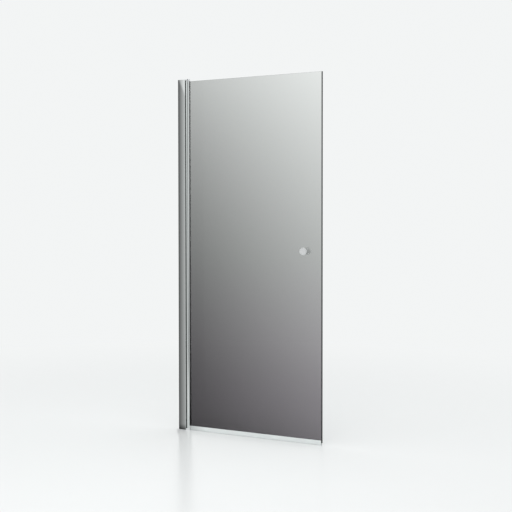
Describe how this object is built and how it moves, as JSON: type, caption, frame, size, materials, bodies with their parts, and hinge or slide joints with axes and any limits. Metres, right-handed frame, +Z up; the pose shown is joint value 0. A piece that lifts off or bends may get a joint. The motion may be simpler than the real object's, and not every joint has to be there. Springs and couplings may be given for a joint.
{
  "type": "hinged shower door",
  "caption": "Hinged shower door: a smoked glass pane on a round hinge barrel that turns, and rises on a helical cam, in a telescoping aluminium wall channel, with knobs and a floor seal.",
  "frame": {"origin": "on the wall plane at floor level, midway across the wall channel", "axes": "+X from the wall to the free edge of the glass, +Y to the bather's side, +Z up"},
  "size_m": [0.89, 0.082, 2.003],
  "materials": {
    "polished_aluminium": "bright polished extrusion",
    "grey_aluminium": "dark grey satin extrusion",
    "chrome": "polished plating",
    "smoked_glass": "smoke grey, darker towards the foot and the hinge",
    "dark_gasket": "matt",
    "clear_seal": "clear, faintly green",
    "bearing_plastic": "moulded",
    "steel": "stainless"
  },
  "bodies": {
    "wall_frame": {"wall_profile": "polished_aluminium", "channel_cap": "bearing_plastic", "hinge_post": "grey_aluminium", "lower_pivot_bracket": "chrome", "spindle_bush": "bearing_plastic", "lift_cam": "bearing_plastic", "upper_pivot_bracket": "chrome", "post_lock_screws": "steel", "lower_bracket_screws": "steel", "upper_bracket_screws": "steel"},
    "pivot_spindle": {"spindle": "steel"},
    "door_leaf": {"leaf_profile": "polished_aluminium", "cam_follower": "bearing_plastic", "upper_bush": "bearing_plastic", "follower_set_screws": "steel", "bush_set_screws": "steel", "door_glass": "smoked_glass", "outer_glazing_gasket": "dark_gasket", "inner_glazing_gasket": "dark_gasket", "floor_seal": "clear_seal", "outer_knob": "chrome", "inner_knob": "chrome", "knob_grub_screw": "steel", "outer_knob_washer": "bearing_plastic", "inner_knob_washer": "bearing_plastic", "knob_sleeve": "bearing_plastic", "knob_stud": "steel"}
  },
  "joints": [
    {"name": "door_swing", "type": "hinge", "parent": "wall_frame", "child": "pivot_spindle", "pos_m": [0.0565, 0, 0], "axis": [0, 0, -1], "range_deg": [0, 90]},
    {"name": "door_lift", "type": "slide", "parent": "pivot_spindle", "child": "door_leaf", "axis": [0, 0, 1], "range_m": [0, 0.004]}
  ],
  "couplings": [
    {"joint": "door_lift", "follows": "door_swing", "m_per_rad": 0.002546}
  ]
}
